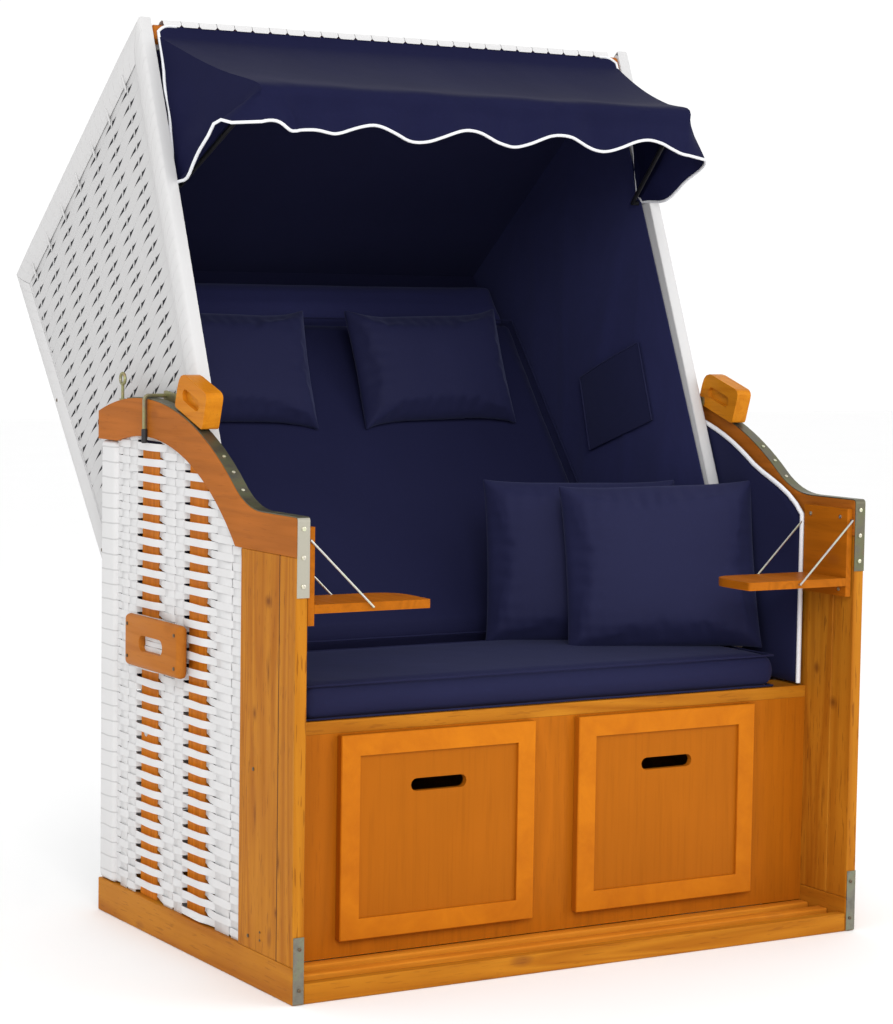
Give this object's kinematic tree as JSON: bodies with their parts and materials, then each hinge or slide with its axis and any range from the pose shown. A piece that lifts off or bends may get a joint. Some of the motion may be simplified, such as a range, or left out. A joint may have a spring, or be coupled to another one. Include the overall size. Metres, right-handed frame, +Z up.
{
  "type": "hooded beach chair",
  "caption": "Two-seat hooded beach chair: wooden and woven basket, tilting woven hood with awning, navy cushions, pull-out footrests and fold-down side tables.",
  "frame": {"origin": "On the floor, in the middle of the basket's footprint, on the underside of the seat box's middle board", "axes": "+X to the right of a person who faces the chair, +Y to its back, +Z up; the chair's open side faces -Y"},
  "size_m": [1.2406, 1.341, 1.6926],
  "materials": {
    "varnished_wood": "satin honey varnish",
    "white_wicker": "flat white woven plastic strip",
    "navy_cloth": "woven navy cloth",
    "plated_steel": "yellow zinc plate"
  },
  "bodies": {
    "basket": {"base_side_board_l": "varnished_wood", "base_side_board_r": "varnished_wood", "base_front_board": "varnished_wood", "base_back_board": "varnished_wood", "floor_slat_front": "varnished_wood", "floor_slat_rear": "varnished_wood", "corner_board_l": "varnished_wood", "corner_board_r": "varnished_wood", "wide_board_l": "varnished_wood", "wide_board_r": "varnished_wood", "side_slat_front_l": "varnished_wood", "side_slat_front_r": "varnished_wood", "side_slat_rear_l": "varnished_wood", "side_slat_rear_r": "varnished_wood", "arm_rail_l": "varnished_wood", "arm_rail_r": "varnished_wood", "side_weave_l": "white_wicker", "side_weave_r": "white_wicker", "rear_weave": "white_wicker", "side_lining_l": "navy_cloth", "side_lining_r": "navy_cloth", "carry_handle_l": "varnished_wood", "carry_handle_r": "varnished_wood", "latch_strip_l": "plated_steel", "latch_strip_r": "plated_steel", "lower_bracket_l": "plated_steel", "lower_bracket_r": "plated_steel", "eye_bolt_l": "plated_steel", "eye_bolt_r": "plated_steel", "seat_front_board": "varnished_wood", "seat_partition": "varnished_wood", "seat_deck": "varnished_wood", "seat_cushion": "navy_cloth", "throw_pillow_front": "navy_cloth", "throw_pillow_rear": "navy_cloth", "table_plate_l": "varnished_wood", "table_plate_r": "varnished_wood"},
    "hood": {"hood_side_l": "white_wicker", "hood_side_r": "white_wicker", "hood_shell": "white_wicker", "hood_top_rail": "varnished_wood", "hood_lining": "navy_cloth", "back_cushion": "navy_cloth", "head_cushion": "navy_cloth", "neck_pillow_l": "navy_cloth", "neck_pillow_r": "navy_cloth", "awning_cloth": "navy_cloth"},
    "awning": {"awning_bow": "plated_steel"},
    "latch_left": {"latch_lever_l": "plated_steel", "latch_grip_l": "varnished_wood"},
    "latch_right": {"latch_lever_r": "plated_steel", "latch_grip_r": "varnished_wood"},
    "footrest_left": {"footrest_front_l": "varnished_wood", "footrest_box_l": "varnished_wood"},
    "footrest_right": {"footrest_front_r": "varnished_wood", "footrest_box_r": "varnished_wood"},
    "table_left": {"table_board_l": "varnished_wood"},
    "table_right": {"table_board_r": "varnished_wood"},
    "stay_left": {"table_stay_l": "plated_steel"},
    "stay_right": {"table_stay_r": "plated_steel"}
  },
  "joints": [
    {"name": "hood_tilt", "type": "hinge", "parent": "basket", "child": "hood", "pos_m": [0, 0.22, 0.37], "axis": [-1, 0, 0], "range_deg": [-18, 11]},
    {"name": "awning_tilt", "type": "hinge", "parent": "hood", "child": "awning", "pos_m": [0, 0.25026, 1.38454], "axis": [-1, 0, 0], "range_deg": [-18, 50], "deforming": ["awning_cloth"]},
    {"name": "latch_lift_left", "type": "hinge", "parent": "hood", "child": "latch_left", "pos_m": [-0.58, 0.19205, 0.99758], "axis": [-1, 0, 0], "range_deg": [0, 30]},
    {"name": "latch_lift_right", "type": "hinge", "parent": "hood", "child": "latch_right", "pos_m": [0.58, 0.19205, 0.99758], "axis": [-1, 0, 0], "range_deg": [0, 30]},
    {"name": "footrest_slide_left", "type": "slide", "parent": "basket", "child": "footrest_left", "axis": [0, -1, 0], "range_m": [0, 0.38]},
    {"name": "footrest_slide_right", "type": "slide", "parent": "basket", "child": "footrest_right", "axis": [0, -1, 0], "range_m": [0, 0.38]},
    {"name": "table_fold_left", "type": "hinge", "parent": "basket", "child": "table_left", "pos_m": [-0.5624, -0.335, 0.657], "axis": [0, 1, 0], "range_deg": [0, 90]},
    {"name": "table_fold_right", "type": "hinge", "parent": "basket", "child": "table_right", "pos_m": [0.5624, -0.335, 0.657], "axis": [0, -1, 0], "range_deg": [0, 90]},
    {"name": "stay_swing_left", "type": "hinge", "parent": "basket", "child": "stay_left", "pos_m": [-0.5721, -0.335, 0.78], "axis": [0, 1, 0], "range_deg": [0, 46]},
    {"name": "stay_swing_right", "type": "hinge", "parent": "basket", "child": "stay_right", "pos_m": [0.5721, -0.335, 0.78], "axis": [0, -1, 0], "range_deg": [0, 46]}
  ],
  "couplings": [
    {"joint": "stay_swing_left", "follows": "table_fold_left", "ratio": 0.51},
    {"joint": "stay_swing_right", "follows": "table_fold_right", "ratio": 0.51}
  ]
}
